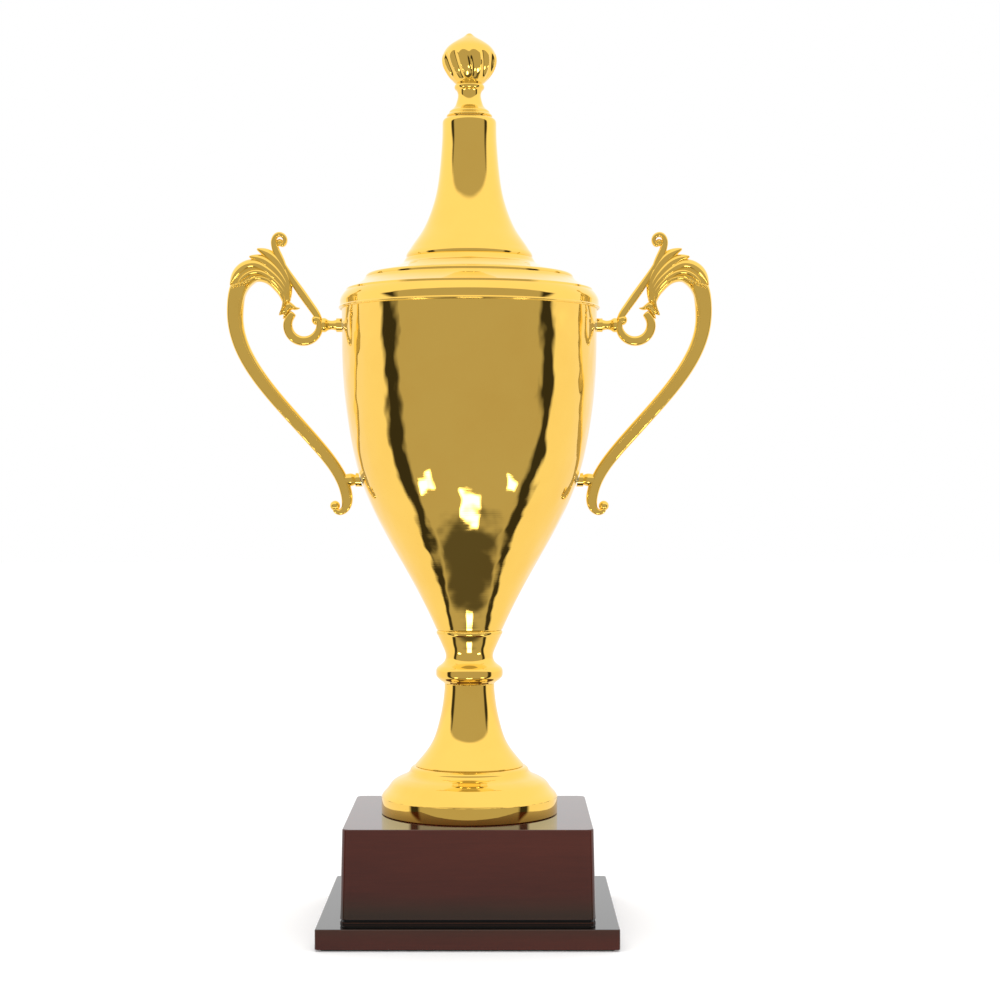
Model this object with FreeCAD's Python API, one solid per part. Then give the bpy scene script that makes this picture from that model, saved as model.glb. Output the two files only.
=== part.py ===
import FreeCAD, Part
import math
import os

# A lidded, two-handled cup trophy on a lacquered plinth, in millimetres.
# Origin: centre of the underside. +Z up, the handles along X, the front faces -Y.
# The thin metal pieces are pressed or spun shells, threaded on one tie rod.

Vector = FreeCAD.Vector

# ---- driving dimensions --------------------------------------------------------------

# plinth
FELT_THICKNESS = 1.2
FELT_INSET = 3.0
PLATE_WIDTH = 178.4
PLATE_DEPTH = 166.0
PLATE_HEIGHT = 11.8
PLATE_CORNER = 2.0
BOX_WIDTH = 151.4
BOX_DEPTH = 137.0
BOX_HEIGHT = 55.6
BOX_DRAFT = 1.2
BOX_CORNER = 5.0
BOX_WALL = 9.0
BOX_EDGE = 0.8
GROOVE_HEIGHT = 1.4
GROOVE_DEPTH = 1.0
GROOVE_LIFT = 1.2
BLOCK_SIZE = 22.0

# spun foot and stem
SHEET = 1.0
FOOT_RADIUS = 54.7
FOOT_BAND = 10.2
FOOT_HEIGHT = 29.2
FOOT_TOP_RADIUS = 34.2
BELL_FOOT_RADIUS = 33.6
BELL_HEIGHT = 51.1
BELL_TOP_RADIUS = 15.5
KNOB_HEIGHT = 33.1
KNOB_RADIUS = 20.8
KNOB_WAIST_RADIUS = 14.6
KNOB_END_RADIUS = 20.2

# cup bowl
CUP_HEIGHT = 204.4
CUP_BOTTOM_RADIUS = 20.8
CUP_MOUTH_RADIUS = 79.2

# lid
LID_CLEARANCE = 0.3
SKIRT_DEPTH = 5.4
SKIRT_BEAD = 0.7
LID_SEAT_THICKNESS = 2.2
LID_SEAT_WIDTH = 2.1
LID_HEIGHT = 26.0
LID_STEP_RADIUS = 66.6
TOWER_FOOT_RADIUS = 39.2
TOWER_HEIGHT = 87.4
TOWER_TOP_RADIUS = 16.8
NECK_HEIGHT = 21.1
NECK_RADIUS = 14.2
NECK_WAIST_RADIUS = 7.2
FINIAL_HEIGHT = 31.5
FINIAL_RADIUS = 17.0

# handles
HANDLE_DROP = 15.0
HANDLE_SPACING = 96.1
HANDLE_BAR_DEPTH = 9.0
HANDLE_PLATE_DEPTH = 6.4
SPIGOT_RADIUS = 3.6
SPACER_RADIUS = 4.3
SPACER_LENGTH = 3.4

# fasteners
ROD_RADIUS = 3.0
ROD_HOLE_CLEARANCE = 0.3
THREAD_CLEARANCE = 0.05
NUT_FLATS = 10.0
NUT_HEIGHT = 5.0
WASHER_RADIUS = 9.0
WASHER_THICKNESS = 1.6
ROD_END = 1.8
RECESS_RADIUS = 11.0
RECESS_DEPTH = 7.5
WOOD_SCREW_RADIUS = 2.0
WOOD_SCREW_LENGTH = 28.0
WOOD_SCREW_HEAD = 4.0
LID_ROD_RADIUS = 2.0
LID_NUT_FLATS = 7.0
LID_NUT_HEIGHT = 3.2
LID_WASHER_RADIUS = 6.0
LID_WASHER_THICKNESS = 1.0
LID_ROD_GRIP = 14.0
HANDLE_SCREW_RADIUS = 1.5
HANDLE_SCREW_GRIP = 6.0
HANDLE_SCREW_HEAD = 2.9
HANDLE_SCREW_HEAD_HEIGHT = 2.2
HANDLE_WASHER_RADIUS = 3.6
HANDLE_WASHER_THICKNESS = 0.8

# ---- heights of the stack ------------------------------------------------------------

PLATE_BOTTOM = FELT_THICKNESS
BOX_BOTTOM = PLATE_BOTTOM + PLATE_HEIGHT
BOX_TOP = BOX_BOTTOM + BOX_HEIGHT
FOOT_TOP = BOX_TOP + FOOT_HEIGHT
BELL_TOP = FOOT_TOP + BELL_HEIGHT
KNOB_TOP = BELL_TOP + KNOB_HEIGHT
RIM = KNOB_TOP + CUP_HEIGHT
LID_TOP = RIM + LID_HEIGHT
TOWER_TOP = LID_TOP + TOWER_HEIGHT
NECK_TOP = TOWER_TOP + NECK_HEIGHT
TIP = NECK_TOP + FINIAL_HEIGHT

ROD_HOLE = ROD_RADIUS + ROD_HOLE_CLEARANCE
LID_ROD_HOLE = LID_ROD_RADIUS + ROD_HOLE_CLEARANCE
HANDLE_SCREW_HOLE = HANDLE_SCREW_RADIUS + ROD_HOLE_CLEARANCE
UPPER_SPIGOT = RIM - HANDLE_DROP
LOWER_SPIGOT = UPPER_SPIGOT - HANDLE_SPACING
RECESS_TOP = PLATE_BOTTOM + RECESS_DEPTH
CUP_FLOOR = KNOB_TOP + SHEET


# ---- shape helpers -------------------------------------------------------------------


def outline(start, *steps):
    """Wire in the XZ plane: each step is (x, z) for a line or (x, z, bulge) for an arc.

    A positive bulge bows the arc to the right of the direction of travel.
    """
    edges = []
    at = Vector(start[0], 0, start[1])
    for step in steps:
        to = Vector(step[0], 0, step[1])
        if len(step) == 3:
            chord = to - at
            side = Vector(chord.z, 0, -chord.x).normalize()
            middle = (at + to) * 0.5 + side * step[2]
            edges.append(Part.Arc(at, middle, to).toShape())
        else:
            edges.append(Part.LineSegment(at, to).toShape())
        at = to
    return Part.Wire(edges)


def spin(face):
    """Full turn of a face in the XZ plane about the Z axis."""
    return face.revolve(Vector(0, 0, 0), Vector(0, 0, 1), 360)


def left_of(step_from, step, at_end):
    """Unit normal on the left of a step's tangent, at its start or at its end."""
    chord = Vector(step[0] - step_from[0], 0, step[1] - step_from[1])
    bulge = step[2] if len(step) == 3 else 0.0
    swing = 2 * math.atan(2 * bulge / chord.Length)
    if at_end:
        swing = -swing
    turn = FreeCAD.Rotation(Vector(0, 1, 0), math.degrees(swing))
    tangent = turn.multVec(chord.normalize())
    return Vector(-tangent.z, 0, tangent.x)


def inner_outline(start, steps):
    """The same outline moved to its left by the sheet thickness, run backwards.

    Ends that rise or fall are cut level, so that they sit flat.
    """
    points = [start, *steps]
    moved = []
    for index, point in enumerate(points):
        normals = []
        if index > 0:
            normals.append(left_of(points[index - 1], point, True))
        if index < len(points) - 1:
            normals.append(left_of(point, points[index + 1], False))
        middle = sum(normals[1:], normals[0]).normalize()
        if len(normals) == 1 and abs(middle.x) > 0.5:
            middle = Vector(math.copysign(1, middle.x), 0, 0)
        way = middle * (SHEET / middle.dot(normals[0]))
        moved.append((point[0] + way.x, point[1] + way.z))
    back = []
    for index in range(len(moved) - 1, 0, -1):
        step = points[index]
        to = moved[index - 1]
        if len(step) == 3:
            outer_chord = math.dist(points[index - 1][:2], step[:2])
            inner_chord = math.dist(moved[index - 1], moved[index])
            back.append((*to, -step[2] * inner_chord / outer_chord))
        else:
            back.append(to)
    return moved[-1], back


def spun_shell(start, *steps):
    """Sheet of the common thickness inside an outer outline, spun about Z.

    The outline runs with the open air on its right.
    """
    last, back = inner_outline(start, steps)
    return turned(start, *steps, last, *back)


def turned(start, *steps):
    """Solid of revolution whose outline closes along the axis side."""
    wire = outline(start, *steps, start)
    return spin(Part.Face(wire))


def tube(radius, hole, height, bottom):
    """Upright ring: a washer, a bush or, with hole 0, a disc."""
    ring = Part.makeCylinder(radius, height, Vector(0, 0, bottom))
    if hole:
        ring = ring.cut(Part.makeCylinder(hole, height, Vector(0, 0, bottom)))
    return ring


def hex_nut(flats, hole, height, bottom):
    """Upright hexagon nut."""
    corner = flats / math.sqrt(3)
    points = []
    for turn in range(7):
        angle = math.radians(60 * turn)
        points.append(Vector(corner * math.cos(angle), corner * math.sin(angle), bottom))
    prism = Part.Face(Part.makePolygon(points)).extrude(Vector(0, 0, height))
    return prism.cut(Part.makeCylinder(hole, height, Vector(0, 0, bottom)))


def rounded_board(width, depth, corner, bottom, height):
    """Flat board, centred on the axis, with round upright edges."""
    low = Vector(-width / 2, -depth / 2, bottom)
    board = Part.makeBox(width, depth, height, low)
    return board.makeFillet(corner, upright_edges(board, height))


def upright_edges(shape, height):
    """Edges of a shape that climb more than half of its height."""
    return [edge for edge in shape.Edges if edge.BoundBox.ZLength > height / 2]


def level_edges(shape, height):
    """Edges of a shape that lie level at a height."""
    found = []
    for edge in shape.Edges:
        box = edge.BoundBox
        if abs(box.ZMin - height) < 0.01 and abs(box.ZMax - height) < 0.01:
            found.append(edge)
    return found


def joined(solids):
    """One solid from overlapping ones."""
    result = solids[0]
    for solid in solids[1:]:
        result = result.fuse(solid)
    return result.removeSplitter().Solids[0]


def block_places():
    """The four places of the glue blocks, in the corners of the box."""
    inset = BOX_DRAFT + BOX_WALL + BLOCK_SIZE / 2
    x = BOX_WIDTH / 2 - inset
    y = BOX_DEPTH / 2 - inset
    return [(-x, -y), (-x, y), (x, -y), (x, y)]


def save(name, solids):
    """Write one node, as a single solid or as a group of separate ones."""
    if not isinstance(solids, list):
        solids = [solids]
    shape = solids[0] if len(solids) == 1 else Part.makeCompound(solids)
    if not shape.isValid():
        raise ValueError(name + " is not a valid shape")
    shape.exportStep("parts/" + name + ".step")


# ---- plinth --------------------------------------------------------------------------


def base_felt():
    """Felt sheet under the plate, with a window for the tie rod's nut."""
    width = PLATE_WIDTH - 2 * FELT_INSET
    depth = PLATE_DEPTH - 2 * FELT_INSET
    sheet = rounded_board(width, depth, PLATE_CORNER, 0, FELT_THICKNESS)
    return sheet.cut(tube(RECESS_RADIUS, 0, FELT_THICKNESS, 0))


def plinth_plate():
    """Bottom board, recessed for the nut and countersunk for the screws."""
    board = rounded_board(PLATE_WIDTH, PLATE_DEPTH, PLATE_CORNER, PLATE_BOTTOM, PLATE_HEIGHT)
    board = board.makeFillet(BOX_EDGE, level_edges(board, BOX_BOTTOM))
    board = board.cut(tube(RECESS_RADIUS, 0, RECESS_DEPTH, PLATE_BOTTOM))
    board = board.cut(tube(ROD_HOLE, 0, PLATE_HEIGHT, PLATE_BOTTOM))
    for x, y in block_places():
        hole = wood_screw(THREAD_CLEARANCE)
        hole.translate(Vector(x, y, 0))
        board = board.cut(hole)
    return board


def wood_screw(clearance):
    """Countersunk screw driven up from the underside of the plate."""
    shank = WOOD_SCREW_RADIUS + clearance
    head = WOOD_SCREW_HEAD + clearance
    cone = head - shank
    return turned(
        (0, PLATE_BOTTOM),
        (head, PLATE_BOTTOM),
        (shank, PLATE_BOTTOM + cone),
        (shank, PLATE_BOTTOM + WOOD_SCREW_LENGTH - shank),
        (0, PLATE_BOTTOM + WOOD_SCREW_LENGTH),
    )


def drafted_box():
    """Solid box with flat sides that lean in by the draft, and round upright edges."""
    wide = BOX_WIDTH / 2
    deep = BOX_DEPTH / 2
    top_wide = wide - BOX_DRAFT
    top_deep = deep - BOX_DRAFT
    wedge = Part.makeWedge(
        -wide, 0, -deep, -top_deep, -top_wide, wide, BOX_HEIGHT, deep, top_deep, top_wide
    )
    wedge.rotate(Vector(0, 0, 0), Vector(1, 0, 0), 90)
    wedge.translate(Vector(0, 0, BOX_BOTTOM))
    return wedge.makeFillet(BOX_CORNER, upright_edges(wedge, BOX_HEIGHT))


def plinth_box():
    """Hollow drafted box, open below, with a shadow groove near its foot."""
    box = drafted_box()
    box = box.makeFillet(BOX_EDGE, level_edges(box, BOX_TOP))
    cut_in = 2 * GROOVE_DEPTH + 2 * BOX_DRAFT * GROOVE_LIFT / BOX_HEIGHT
    groove_bottom = BOX_BOTTOM + GROOVE_LIFT
    core = rounded_board(
        BOX_WIDTH - cut_in, BOX_DEPTH - cut_in, BOX_CORNER, groove_bottom, GROOVE_HEIGHT
    )
    frame = rounded_board(PLATE_WIDTH, PLATE_DEPTH, PLATE_CORNER, groove_bottom, GROOVE_HEIGHT)
    box = box.cut(frame.cut(core))
    walls = 2 * (BOX_DRAFT + BOX_WALL)
    wide = BOX_WIDTH - walls
    deep = BOX_DEPTH - walls
    low = Vector(-wide / 2, -deep / 2, BOX_BOTTOM)
    box = box.cut(Part.makeBox(wide, deep, BOX_HEIGHT - BOX_WALL, low))
    return box.cut(tube(ROD_HOLE, 0, BOX_HEIGHT, BOX_BOTTOM))


def plinth_blocks():
    """Glue blocks in the corners of the box, drilled for the screws."""
    blocks = []
    height = BOX_HEIGHT - BOX_WALL
    for x, y in block_places():
        low = Vector(x - BLOCK_SIZE / 2, y - BLOCK_SIZE / 2, BOX_BOTTOM)
        hole = wood_screw(THREAD_CLEARANCE)
        hole.translate(Vector(x, y, 0))
        blocks.append(Part.makeBox(BLOCK_SIZE, BLOCK_SIZE, height, low).cut(hole))
    return blocks


def plinth_screws():
    """One screw up into each glue block."""
    screws = []
    for x, y in block_places():
        screw = wood_screw(0)
        screw.translate(Vector(x, y, 0))
        screws.append(screw)
    return screws


# ---- foot, stem and cup --------------------------------------------------------------


def foot_disc():
    """Round pressed foot: a band, a bevel, a sloping ledge and a flat top."""
    band = BOX_TOP + FOOT_BAND
    rise = FOOT_HEIGHT - FOOT_BAND
    reach = FOOT_RADIUS - FOOT_TOP_RADIUS
    return spun_shell(
        (FOOT_RADIUS, BOX_TOP),
        (FOOT_RADIUS, band),
        (FOOT_RADIUS - 0.07 * reach, band + 0.11 * rise, 0.3),
        (FOOT_RADIUS - 0.34 * reach, band + 0.49 * rise, 0.2),
        (FOOT_RADIUS - 0.74 * reach, band + 0.71 * rise, 0.3),
        (FOOT_RADIUS - 0.92 * reach, band + 0.93 * rise, -0.6),
        (FOOT_TOP_RADIUS, FOOT_TOP, 0.3),
        (ROD_HOLE, FOOT_TOP),
    )


def foot_bell():
    """Trumpet between the foot disc and the stem knob."""
    reach = BELL_FOOT_RADIUS - BELL_TOP_RADIUS
    return spun_shell(
        (BELL_FOOT_RADIUS, FOOT_TOP),
        (BELL_TOP_RADIUS + 0.43 * reach, FOOT_TOP + 0.284 * BELL_HEIGHT, -1.2),
        (BELL_TOP_RADIUS + 0.02 * reach, FOOT_TOP + 0.84 * BELL_HEIGHT, -2.2),
        (BELL_TOP_RADIUS, BELL_TOP),
        (ROD_HOLE, BELL_TOP),
    )


def stem_knob():
    """Spool with a rolled knob below its waist."""
    return spun_shell(
        (BELL_TOP_RADIUS + 0.4, BELL_TOP),
        (KNOB_RADIUS - 0.6, BELL_TOP + 0.14 * KNOB_HEIGHT, -0.3),
        (KNOB_RADIUS - 0.6, BELL_TOP + 0.28 * KNOB_HEIGHT, 0.6),
        (KNOB_WAIST_RADIUS + 1.2, BELL_TOP + 0.41 * KNOB_HEIGHT, -0.5),
        (KNOB_WAIST_RADIUS + 1.2, BELL_TOP + 0.65 * KNOB_HEIGHT, -1.2),
        (KNOB_END_RADIUS, BELL_TOP + 0.92 * KNOB_HEIGHT, -0.5),
        (KNOB_END_RADIUS, KNOB_TOP),
        (ROD_HOLE, KNOB_TOP),
    )


def cup_point(share, height):
    """Point of the bowl's outline: share of the flare, share of the height."""
    flare = CUP_MOUTH_RADIUS - CUP_BOTTOM_RADIUS
    return (CUP_BOTTOM_RADIUS + share * flare, KNOB_TOP + height * CUP_HEIGHT)


def cup_steps():
    """Bowl from its bottom edge to the rim: a cone that rounds into a wall."""
    flare = CUP_MOUTH_RADIUS - CUP_BOTTOM_RADIUS
    return [
        (*cup_point(0.107, 0.076), 0.006 * -flare),
        (*cup_point(0.613, 0.335), -0.004 * flare),
        (*cup_point(0.842, 0.499), 0.027 * flare),
        (*cup_point(0.986, 0.791), 0.027 * flare),
        (*cup_point(1.0, 0.95), 0.004 * flare),
        cup_point(1.0, 1.0),
    ]


def cup_bowl():
    """Spun bowl, drilled for the tie rod and for the handle screws."""
    bowl = spun_shell((ROD_HOLE, KNOB_TOP), cup_point(0, 0), *cup_steps())
    reach = CUP_MOUTH_RADIUS + SPACER_LENGTH
    for height in (UPPER_SPIGOT, LOWER_SPIGOT):
        bowl = bowl.cut(cross_bar(HANDLE_SCREW_HOLE, -reach, reach, height))
    return bowl


def cup_filled(inset):
    """The bowl's outer form, or its inner one, as a solid block."""
    block = turned((0, KNOB_TOP), cup_point(0, 0), *cup_steps(), (0, RIM))
    if inset:
        block = block.cut(spun_shell((0, KNOB_TOP), cup_point(0, 0), *cup_steps()))
    return block


def cross_bar(radius, start, end, height):
    """Level cylinder along X between two distances from the axis."""
    way = Vector(end - start, 0, 0)
    return Part.makeCylinder(radius, way.Length, Vector(start, 0, height), way)


# ---- tie rod -------------------------------------------------------------------------


def tie_rod():
    """Rod that pulls the cup, stem, foot and plinth together."""
    top = CUP_FLOOR + WASHER_THICKNESS + NUT_HEIGHT + ROD_END
    bottom = RECESS_TOP - WASHER_THICKNESS - NUT_HEIGHT - 0.3
    return tube(ROD_RADIUS, 0, top - bottom, bottom)


def rod_nut(bottom):
    """Nut on the tie rod."""
    return hex_nut(NUT_FLATS, ROD_RADIUS + THREAD_CLEARANCE, NUT_HEIGHT, bottom)


def rod_washer(bottom):
    """Washer on the tie rod."""
    return tube(WASHER_RADIUS, ROD_HOLE, WASHER_THICKNESS, bottom)


# ---- handles -------------------------------------------------------------------------


def spot(out, up):
    """Point of the right handle: distance out from the cup's wall, and up from its spigot."""
    return Vector(CUP_MOUTH_RADIUS + out, 0, UPPER_SPIGOT + up)


def rod_between(start, end, radius):
    """Round bar between two points of the handle."""
    return Part.makeCylinder(radius, (end - start).Length, start, end - start)


def oval_section(centre, along, width, depth):
    """Closed oval across the bar, depth along Y."""
    across = Vector(0, 1, 0).cross(along).normalize()
    if width >= depth:
        curve = Part.Ellipse(centre + across * (width / 2), centre + Vector(0, depth / 2, 0), centre)
    else:
        curve = Part.Ellipse(centre + Vector(0, depth / 2, 0), centre - across * (width / 2), centre)
    return Part.Wire(curve.toShape())


def handle_bar():
    """Long tapering bar from under the leaf to the curl at the foot of the handle."""
    centres = [
        spot(62.3, 26.4),
        spot(66.0, 14.0),
        spot(65.9, 0.5),
        spot(60.4, -16.5),
        spot(51.7, -31.4),
        spot(40.2, -46.4),
        spot(26.8, -61.3),
        spot(13.2, -76.2),
        spot(2.6, -91.2),
        spot(-2.7, -104.0),
        spot(-3.2, -111.0),
    ]
    sections = []
    for index, centre in enumerate(centres):
        before = centres[max(index - 1, 0)]
        after = centres[min(index + 1, len(centres) - 1)]
        share = index / (len(centres) - 1)
        width = 10.4 - 3.4 * share
        depth = HANDLE_BAR_DEPTH - 2.4 * share
        sections.append(oval_section(centre, after - before, width, depth))
    return Part.makeLoft(sections, True, False)


def handle_leaf():
    """Leaf that caps the arch, as a plate with its scalloped outer edge."""
    edge = outline(
        (59.8, 19.4),
        (37.4, 19.4, 8.6),
        (36.6, 11.0, 0.4),
        (30.6, 13.0),
        (29.6, 26.0, 0.8),
        (28.4, 31.0),
        (34.2, 38.0),
        (36.4, 45.0),
        (42.2, 46.2),
        (47.4, 49.6, -1.0),
        (55.6, 46.8, 1.2),
        (58.0, 42.4),
        (64.4, 37.6, 1.0),
        (66.0, 33.6),
        (69.2, 25.6, 0.8),
        (69.2, 19.4),
        (59.8, 19.4),
    )
    plate = Part.Face(edge).extrude(Vector(0, HANDLE_PLATE_DEPTH, 0))
    plate.translate(spot(0, 0) - Vector(0, HANDLE_PLATE_DEPTH / 2, 0))
    return plate


def handle_hook():
    """C-scroll that carries the leaf's stem back to the upper spigot."""
    start_angle = 43.0
    sweep = 247.0
    ring_radius = 9.95
    bar_radius = 3.1
    centre = spot(23.7, 0)
    angle = math.radians(start_angle)
    start = centre + Vector(ring_radius * math.cos(angle), 0, ring_radius * math.sin(angle))
    along = Vector(-math.sin(angle), 0, math.cos(angle))
    circle = Part.Face(Part.Wire(Part.Circle(start, along, bar_radius).toShape()))
    return circle.revolve(centre, Vector(0, 1, 0), sweep)


def right_handle():
    """Cast handle: bar, leaf, scrolls and the two spigots, drilled for its screws."""
    end = CUP_MOUTH_RADIUS + SPACER_LENGTH
    lower_end = lower_spacer_face()
    solids = [
        handle_bar(),
        handle_leaf(),
        handle_hook(),
        rod_between(spot(33.8, 31.4), spot(14.0, 5.2), 3.0),
        rod_between(spot(34.6, 36.0), spot(38.6, 51.0), 2.7),
        Part.makeSphere(5.3, spot(38.7, 52.8)),
        Part.makeSphere(4.2, spot(34.0, 11.6)),
        Part.makeSphere(3.9, spot(14.6, 3.4)),
        Part.makeSphere(4.4, spot(-0.6, -113.4)),
        Part.makeSphere(3.4, spot(3.5, -112.2)),
        cross_bar(SPIGOT_RADIUS, end, CUP_MOUTH_RADIUS + 14, UPPER_SPIGOT),
        cross_bar(SPIGOT_RADIUS, lower_end, CUP_MOUTH_RADIUS, LOWER_SPIGOT),
    ]
    handle = joined(solids)
    for height, face in ((UPPER_SPIGOT, end), (LOWER_SPIGOT, lower_end)):
        hole = HANDLE_SCREW_RADIUS + THREAD_CLEARANCE
        depth = HANDLE_SCREW_GRIP + 0.5
        handle = handle.cut(cross_bar(hole, face, face + depth, height))
    return handle


def wall_radius(height):
    """Outer radius of the bowl at a height."""
    ray = Part.LineSegment(Vector(0, 0, height), Vector(2 * CUP_MOUTH_RADIUS, 0, height))
    inside = cup_filled(False).common(ray.toShape())
    return inside.BoundBox.XMax


def lower_spacer_face():
    """Outer end of the spacer on the sloping part of the bowl."""
    return wall_radius(LOWER_SPIGOT + SPACER_RADIUS) + SPACER_LENGTH / 2


def mirrored(shapes):
    """The shapes and their mirror images across the middle of the cup."""
    return shapes + [shape.mirror(Vector(0, 0, 0), Vector(1, 0, 0)) for shape in shapes]


def handle_spacers():
    """Collars that fill the space between the bowl's wall and the spigots."""
    filled = cup_filled(False)
    collars = []
    for height, face in (
        (UPPER_SPIGOT, CUP_MOUTH_RADIUS + SPACER_LENGTH),
        (LOWER_SPIGOT, lower_spacer_face()),
    ):
        start = wall_radius(height) - SPACER_LENGTH
        collar = cross_bar(SPACER_RADIUS, start, face, height)
        collar = collar.cut(cross_bar(HANDLE_SCREW_HOLE, start, face, height))
        collars.append(collar.cut(filled).Solids[0])
    return mirrored(collars)


def washer_face(height):
    """Inner end of the washer inside the bowl at a spigot."""
    lowest = wall_radius(height - HANDLE_WASHER_RADIUS)
    return lowest - SHEET * 1.2 - HANDLE_WASHER_THICKNESS


def handle_washers():
    """Washers shaped to the inside of the bowl, flat towards the screw heads."""
    cavity = cup_filled(True)
    washers = []
    for height in (UPPER_SPIGOT, LOWER_SPIGOT):
        start = washer_face(height)
        end = wall_radius(height) + SPACER_LENGTH
        washer = cross_bar(HANDLE_WASHER_RADIUS, start, end, height)
        washer = washer.cut(cross_bar(HANDLE_SCREW_HOLE, start, end, height))
        washers.append(washer.common(cavity).Solids[0])
    return mirrored(washers)


def handle_screws():
    """Screws from inside the bowl into the handle's spigots."""
    screws = []
    for height, face in (
        (UPPER_SPIGOT, CUP_MOUTH_RADIUS + SPACER_LENGTH),
        (LOWER_SPIGOT, lower_spacer_face()),
    ):
        start = washer_face(height)
        shank = cross_bar(HANDLE_SCREW_RADIUS, start, face + HANDLE_SCREW_GRIP, height)
        head = cross_bar(HANDLE_SCREW_HEAD, start - HANDLE_SCREW_HEAD_HEIGHT, start, height)
        screws.append(joined([head, shank]))
    return mirrored(screws)


# ---- lid -----------------------------------------------------------------------------


def lid_disc():
    """Stepped lid: a skirt over the mouth, a seat on the rim, two domes, a flat top."""
    inside = CUP_MOUTH_RADIUS + LID_CLEARANCE
    skirt = inside + SHEET
    shell = spun_shell(
        (skirt, RIM - SKIRT_DEPTH),
        (skirt, RIM + 0.3),
        (skirt - 2.2, RIM + 3.1, 0.3),
        (skirt - 4.3, RIM + 7.0, -0.3),
        (LID_STEP_RADIUS + 2.0, RIM + 0.42 * LID_HEIGHT, 1.0),
        (LID_STEP_RADIUS, RIM + 0.47 * LID_HEIGHT, -0.3),
        (LID_STEP_RADIUS - 2.4, RIM + 0.65 * LID_HEIGHT, -0.4),
        (LID_STEP_RADIUS - 5.8, RIM + 0.76 * LID_HEIGHT, 0.6),
        (TOWER_FOOT_RADIUS + 1.6, LID_TOP, 0.5),
        (LID_ROD_HOLE, LID_TOP),
    )
    outer = skirt - 0.1
    inner = CUP_MOUTH_RADIUS - LID_SEAT_WIDTH
    seat = turned(
        (inner, RIM),
        (outer, RIM),
        (outer - 1.6, RIM + LID_SEAT_THICKNESS),
        (inner, RIM + LID_SEAT_THICKNESS + 1.0),
    )
    ring_radius = skirt - 0.1
    bead = Part.makeTorus(ring_radius, SKIRT_BEAD, Vector(0, 0, RIM - SKIRT_DEPTH + SKIRT_BEAD))
    room = tube(inside, 0, 2 * SKIRT_DEPTH, RIM - 2 * SKIRT_DEPTH)
    return joined([shell, seat, bead]).cut(room).Solids[0]


def lid_tower():
    """Tall bell on the lid, from a rolled foot to a straight neck with a round shoulder."""
    reach = TOWER_FOOT_RADIUS - TOWER_TOP_RADIUS
    return spun_shell(
        (TOWER_FOOT_RADIUS, LID_TOP),
        (TOWER_FOOT_RADIUS, LID_TOP + 3.0),
        (TOWER_FOOT_RADIUS - 1.3, LID_TOP + 4.7, 0.3),
        (TOWER_TOP_RADIUS + 0.4 * reach, LID_TOP + 0.28 * TOWER_HEIGHT, -1.0),
        (TOWER_TOP_RADIUS + 0.08 * reach, LID_TOP + 0.62 * TOWER_HEIGHT, -1.5),
        (TOWER_TOP_RADIUS, LID_TOP + 0.9 * TOWER_HEIGHT, -0.4),
        (TOWER_TOP_RADIUS, TOWER_TOP - 3.0),
        (TOWER_TOP_RADIUS - 1.8, TOWER_TOP, 0.5),
        (LID_ROD_HOLE, TOWER_TOP),
    )


def finial_neck():
    """Turned cap that narrows to a waist and ends in a small collar."""
    collar = NECK_WAIST_RADIUS + 1.8
    neck = turned(
        (LID_ROD_HOLE, TOWER_TOP),
        (NECK_RADIUS, TOWER_TOP),
        (NECK_RADIUS - 1.0, TOWER_TOP + 1.6, 0.2),
        (NECK_WAIST_RADIUS + 1.8, TOWER_TOP + 0.32 * NECK_HEIGHT, -0.4),
        (NECK_WAIST_RADIUS, TOWER_TOP + 0.62 * NECK_HEIGHT, -0.5),
        (NECK_WAIST_RADIUS, TOWER_TOP + 0.74 * NECK_HEIGHT),
        (collar, NECK_TOP - 3.2, -0.2),
        (collar, NECK_TOP, 0.5),
        (LID_ROD_HOLE, NECK_TOP),
    )
    return neck


def finial():
    """Onion-shaped knob with a pointed tip, tapped for the lid's rod."""
    widest = NECK_TOP + 0.46 * FINIAL_HEIGHT
    knob = turned(
        (0, NECK_TOP),
        (0.5 * FINIAL_RADIUS, NECK_TOP),
        (FINIAL_RADIUS, widest, 0.14 * FINIAL_RADIUS),
        (0.6 * FINIAL_RADIUS, NECK_TOP + 0.79 * FINIAL_HEIGHT, 0.12 * FINIAL_RADIUS),
        (0.12 * FINIAL_RADIUS, TIP - 0.6, -0.04 * FINIAL_RADIUS),
        (0, TIP),
    )
    hole = LID_ROD_RADIUS + THREAD_CLEARANCE
    return knob.cut(tube(hole, 0, LID_ROD_GRIP + 1.0, NECK_TOP))


LID_NUT_TOP = LID_TOP - SHEET - LID_WASHER_THICKNESS


def lid_rod():
    """Rod that holds the lid's disc, tower, neck and finial together."""
    bottom = LID_NUT_TOP - LID_NUT_HEIGHT - 1.0
    return tube(LID_ROD_RADIUS, 0, NECK_TOP + LID_ROD_GRIP - bottom, bottom)


def lid_nut():
    """Nut under the lid's top."""
    hole = LID_ROD_RADIUS + THREAD_CLEARANCE
    return hex_nut(LID_NUT_FLATS, hole, LID_NUT_HEIGHT, LID_NUT_TOP - LID_NUT_HEIGHT)


def lid_washer():
    """Washer between the nut and the lid's top."""
    return tube(LID_WASHER_RADIUS, LID_ROD_HOLE, LID_WASHER_THICKNESS, LID_NUT_TOP)


# ---- nodes ---------------------------------------------------------------------------


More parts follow.
